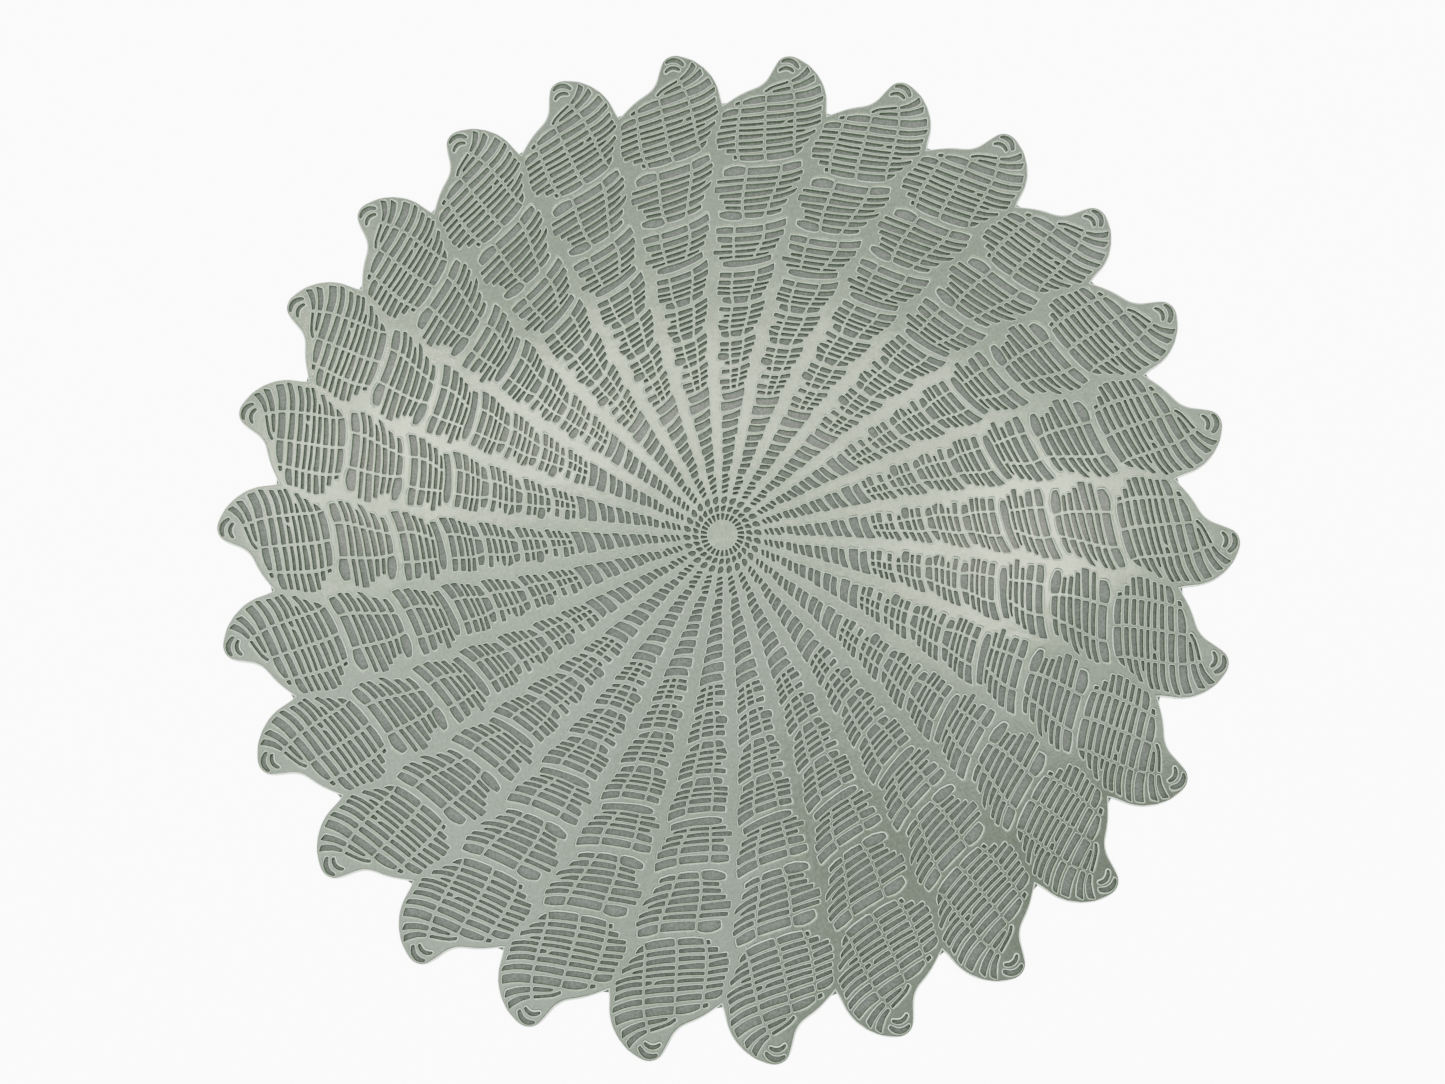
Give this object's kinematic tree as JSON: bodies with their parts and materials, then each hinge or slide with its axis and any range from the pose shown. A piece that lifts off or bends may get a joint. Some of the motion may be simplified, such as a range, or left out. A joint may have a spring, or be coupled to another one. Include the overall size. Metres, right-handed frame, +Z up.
{
  "type": "openwork place mat",
  "caption": "Round flat place mat moulded in one openwork sheet, with a rosette hub and curled petals of slots between smooth radial spokes.",
  "frame": {"origin": "centre of the hub on the underside of the mat, where it rests on the table", "axes": "+Z up through the sheet's thickness; +X along the axis of petal_01; petals numbered counter-clockwise seen from +Z"},
  "size_m": [0.38, 0.3782, 0.0015],
  "materials": {
    "vinyl": "metallic sage silver, satin"
  },
  "bodies": {
    "root": {"hub_rosette": "vinyl", "petal_01": "vinyl", "petal_02": "vinyl", "petal_03": "vinyl", "petal_04": "vinyl", "petal_05": "vinyl", "petal_06": "vinyl", "petal_07": "vinyl", "petal_08": "vinyl", "petal_09": "vinyl", "petal_10": "vinyl", "petal_11": "vinyl", "petal_12": "vinyl", "petal_13": "vinyl", "petal_14": "vinyl", "petal_15": "vinyl", "petal_16": "vinyl", "petal_17": "vinyl", "petal_18": "vinyl", "petal_19": "vinyl", "petal_20": "vinyl", "petal_21": "vinyl", "petal_22": "vinyl", "petal_23": "vinyl", "petal_24": "vinyl", "petal_25": "vinyl", "petal_26": "vinyl"}
  },
  "joints": []
}
